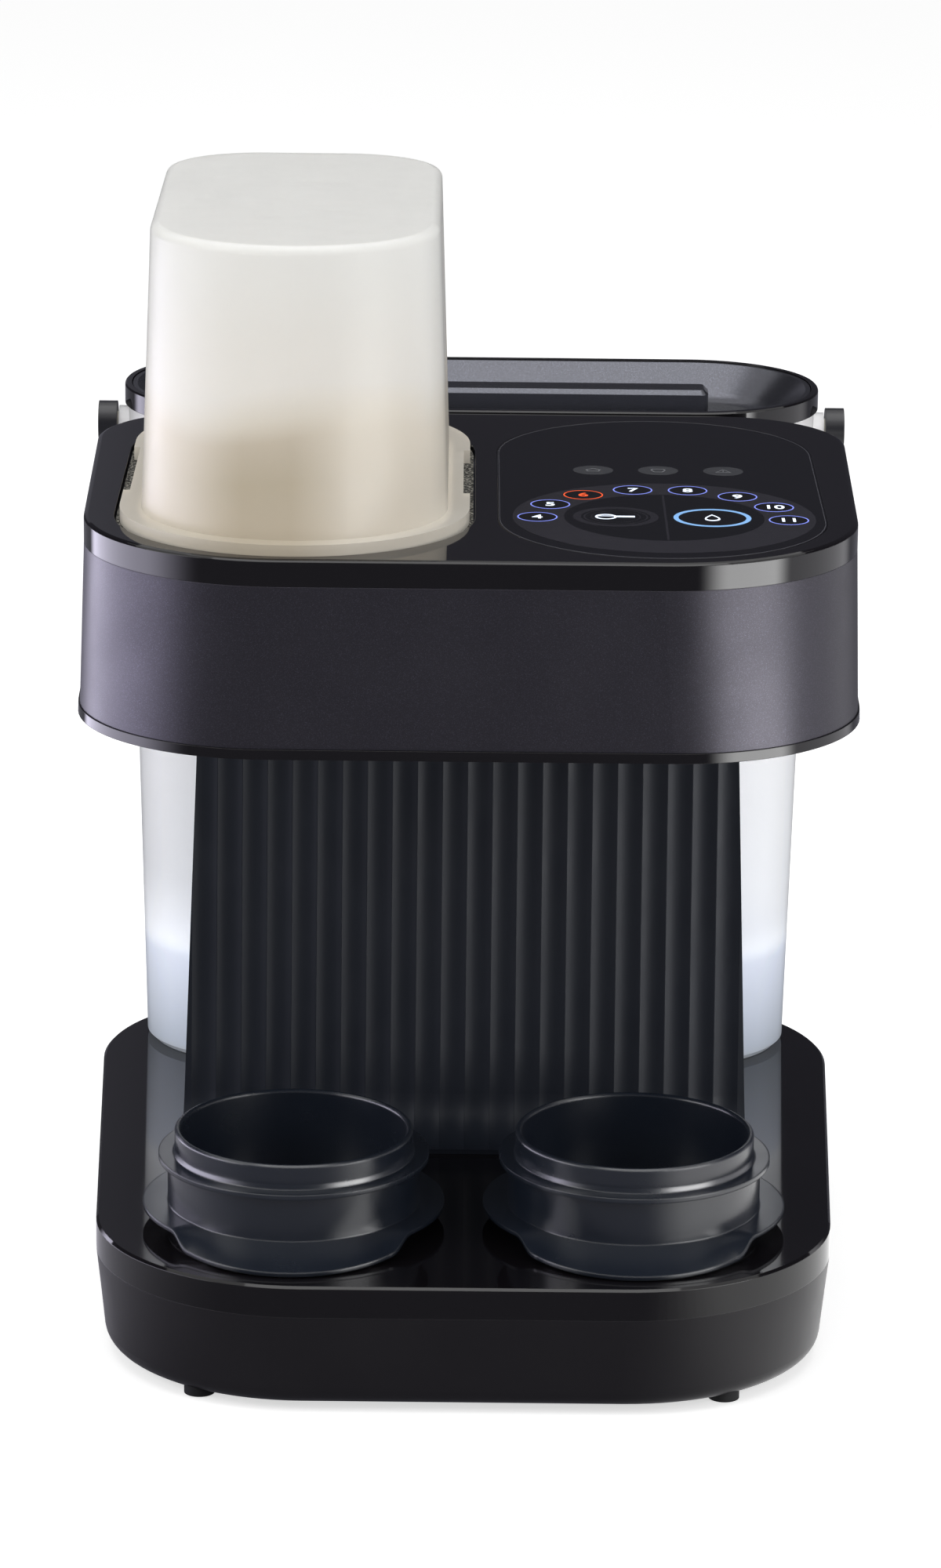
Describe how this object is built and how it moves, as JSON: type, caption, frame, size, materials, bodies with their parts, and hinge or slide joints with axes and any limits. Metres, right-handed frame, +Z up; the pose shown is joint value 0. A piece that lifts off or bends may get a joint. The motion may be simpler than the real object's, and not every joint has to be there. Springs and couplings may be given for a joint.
{
  "type": "baby formula maker",
  "caption": "Countertop baby formula maker with a powder hopper, touch panel, removable rear water tank and bottle cups.",
  "frame": {"origin": "centre of the overall box at the table, under the four feet", "axes": "+Z up, -Y toward the user, +X to the right as seen by the user"},
  "size_m": [0.2492, 0.3047, 0.3595],
  "materials": {
    "body_black": "satin, near black",
    "gloss_black": "high gloss",
    "band_grey": "satin lacquer with fine metallic flake",
    "holder_blue": "fine matte, dark blue-grey",
    "flute_blue": "satin, dark blue-grey",
    "frosted": "frosted, satin translucent",
    "dark_glass": "gloss, backprinted black",
    "soft_grey": "matte, speckled",
    "soft_black": "matte",
    "ivory": "satin",
    "bail_black": "satin black",
    "inner_white": "satin",
    "gear_white": "satin",
    "lid_grey": "satin inside, gloss band",
    "steel": "satin",
    "board_green": "solder mask",
    "hose_clear": "silicone"
  },
  "bodies": {
    "machine": {"base_pan": "body_black", "base_deck": "gloss_black", "rubber_feet": "soft_black", "mains_gland": "soft_black", "flute_panel": "flute_blue", "column_shell": "body_black", "head_shell": "band_grey", "head_top_panel": "gloss_black", "head_under_cover": "gloss_black", "touch_glass": "dark_glass", "touch_board": "board_green", "hopper_well": "body_black", "powder_chute": "inner_white", "dosing_motor": "steel", "water_nozzle": "body_black", "water_pump": "inner_white", "water_heater": "steel", "transfer_pipe": "hose_clear", "control_board": "board_green", "inlet_tube": "hose_clear", "outlet_tube": "hose_clear", "tank_socket": "body_black", "socket_seal": "soft_black"},
    "dosing_base": {"dosing_tray": "inner_white", "metering_baffle": "inner_white"},
    "hopper": {"hopper_tub": "frosted", "hopper_gasket": "soft_grey"},
    "wheel": {"dosing_wheel": "gear_white", "agitator": "gear_white"},
    "drive": {"drive_gear": "gear_white"},
    "pinion": {"motor_pinion": "steel"},
    "tank": {"tank_body": "frosted", "tank_rim": "gloss_black", "valve_cage": "inner_white", "handle_pins": "ivory"},
    "lid": {"tank_lid": "lid_grey"},
    "handle": {"tank_handle": "bail_black"},
    "valve": {"tank_valve": "soft_black"},
    "left_holder": {"bottle_holder_left": "holder_blue"},
    "right_holder": {"bottle_holder_right": "holder_blue"}
  },
  "joints": [
    {"name": "hopper_lift", "type": "slide", "parent": "machine", "child": "dosing_base", "axis": [0, 0, 1], "range_m": [0, 0.12]},
    {"name": "tub_lift", "type": "slide", "parent": "dosing_base", "child": "hopper", "axis": [0, 0, 1], "range_m": [0, 0.1]},
    {"name": "wheel_spin", "type": "hinge", "parent": "dosing_base", "child": "wheel", "pos_m": [-0.0534, -0.0611, 0.2503], "axis": [0, 0, 1], "continuous": true},
    {"name": "drive_spin", "type": "hinge", "parent": "machine", "child": "drive", "pos_m": [-0.0534, -0.0611, 0.2305], "axis": [0, 0, 1], "continuous": true},
    {"name": "pinion_spin", "type": "hinge", "parent": "machine", "child": "pinion", "pos_m": [-0.0534, -0.0413, 0.2305], "axis": [0, 0, 1], "continuous": true},
    {"name": "tank_lift", "type": "slide", "parent": "machine", "child": "tank", "axis": [0, 0, 1], "range_m": [0, 0.25]},
    {"name": "lid_lift", "type": "slide", "parent": "tank", "child": "lid", "axis": [0, 0, 1], "range_m": [0, 0.08]},
    {"name": "handle_swing", "type": "hinge", "parent": "tank", "child": "handle", "pos_m": [0, 0.1, 0.2556], "axis": [1, 0, 0], "range_deg": [0, 140]},
    {"name": "valve_lift", "type": "slide", "parent": "tank", "child": "valve", "axis": [0, 0, 1], "range_m": [0, 0.003]},
    {"name": "left_holder_lift", "type": "slide", "parent": "machine", "child": "left_holder", "axis": [0, 0, 1], "range_m": [0, 0.06]},
    {"name": "right_holder_lift", "type": "slide", "parent": "machine", "child": "right_holder", "axis": [0, 0, 1], "range_m": [0, 0.06]}
  ],
  "couplings": [
    {"joint": "drive_spin", "follows": "wheel_spin", "ratio": 1},
    {"joint": "pinion_spin", "follows": "wheel_spin", "ratio": -2}
  ]
}
